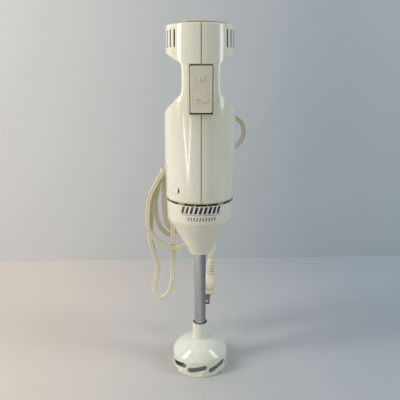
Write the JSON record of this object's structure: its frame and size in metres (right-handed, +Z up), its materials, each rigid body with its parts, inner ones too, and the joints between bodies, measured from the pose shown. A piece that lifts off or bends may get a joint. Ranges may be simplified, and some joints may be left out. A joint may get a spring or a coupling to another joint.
{
  "type": "immersion blender",
  "caption": "Upright hand-held immersion blender with a two-way rocker, a slotted blade guard and a tied flat power cord with its plug.",
  "frame": {"origin": "on the shaft line, in the plane of the guard's foot", "axes": "+Z up along the shaft, from the blade guard to the head; -Y towards the rocker switch; +X to the right seen from the switch"},
  "size_m": [0.1116, 0.0998, 0.3672],
  "materials": {
    "housing_cream": "moulded ABS, polished, aged cream",
    "rocker_cream": "moulded ABS, polished, aged cream",
    "cap_tan": "moulded, satin tan",
    "guard_white": "moulded, polished off-white",
    "bezel_grey": "moulded ABS, cream with grime in the joints",
    "vent_black": "moulded, black",
    "fan_nylon": "moulded nylon",
    "bracket_grey": "glass-filled nylon",
    "tube_chrome": "chromed, fine lengthwise scratches",
    "blade_steel": "ground stainless",
    "zinc_steel": "zinc plated",
    "shaft_steel": "ground",
    "lamination_steel": "stacked laminations, varnished",
    "copper_wire": "enamelled copper, wound",
    "brass": "rolled brass, tarnished",
    "bronze": "sintered bronze",
    "carbon": "pressed carbon",
    "rubber_black": "moulded rubber",
    "cord_vinyl": "flat two-core vinyl, aged cream",
    "tie_vinyl": "paper-covered wire"
  },
  "bodies": {
    "frame": {"blade_guard": "guard_white", "brush_holder_front": "brass", "brush_holder_rear": "brass", "brush_spring_front": "shaft_steel", "brush_spring_rear": "shaft_steel", "carbon_brush_front": "carbon", "carbon_brush_rear": "carbon", "clamp_screw_left": "zinc_steel", "clamp_screw_right": "zinc_steel", "contact_leaf": "brass", "cord_clamp": "bracket_grey", "cord_tie": "tie_vinyl", "field_coil_left": "copper_wire", "field_coil_right": "copper_wire", "head_cap": "cap_tan", "housing_left": "housing_cream", "housing_right": "housing_cream", "housing_screw_front": "zinc_steel", "housing_screw_grip": "zinc_steel", "housing_screw_rear": "zinc_steel", "lower_bearing": "shaft_steel", "lower_bracket": "bracket_grey", "lower_bushing": "bronze", "lower_isolator_left": "rubber_black", "lower_isolator_right": "rubber_black", "motor_bolt_left": "zinc_steel", "motor_bolt_right": "zinc_steel", "motor_cup": "housing_cream", "plug_blade_front": "brass", "plug_blade_rear": "brass", "plug_body": "cord_vinyl", "power_cord": "cord_vinyl", "rocker_pin": "zinc_steel", "screw_plug_front": "housing_cream", "screw_plug_grip": "housing_cream", "screw_plug_rear": "housing_cream", "shaft_seal": "rubber_black", "shaft_tube": "tube_chrome", "speed_diode": "vent_black", "stator_core": "lamination_steel", "strain_relief": "cord_vinyl", "switch_base": "vent_black", "switch_bezel": "bezel_grey", "tube_nut": "zinc_steel", "upper_bearing": "shaft_steel", "upper_bracket": "bracket_grey", "upper_bushing": "bronze", "upper_isolator": "rubber_black", "vent_ring": "vent_black"},
    "rotor": {"motor_shaft": "shaft_steel", "armature_core": "lamination_steel", "armature_winding": "copper_wire", "commutator": "copper_wire", "cooling_fan": "fan_nylon", "shaft_coupling": "vent_black", "drive_shaft": "shaft_steel", "blade": "blade_steel", "blade_nut": "blade_steel"},
    "rocker": {"rocker_switch": "rocker_cream"}
  },
  "joints": [
    {"name": "rotor_spin", "type": "hinge", "parent": "frame", "child": "rotor", "pos_m": [0, 0, 0.2], "axis": [0, 0, 1], "continuous": true},
    {"name": "rocker_tilt", "type": "hinge", "parent": "frame", "child": "rocker", "pos_m": [0, -0.0339, 0.3078], "axis": [1, 0, 0], "range_deg": [-5, 5], "stiffness_Nm_per_rad": 1.2}
  ]
}
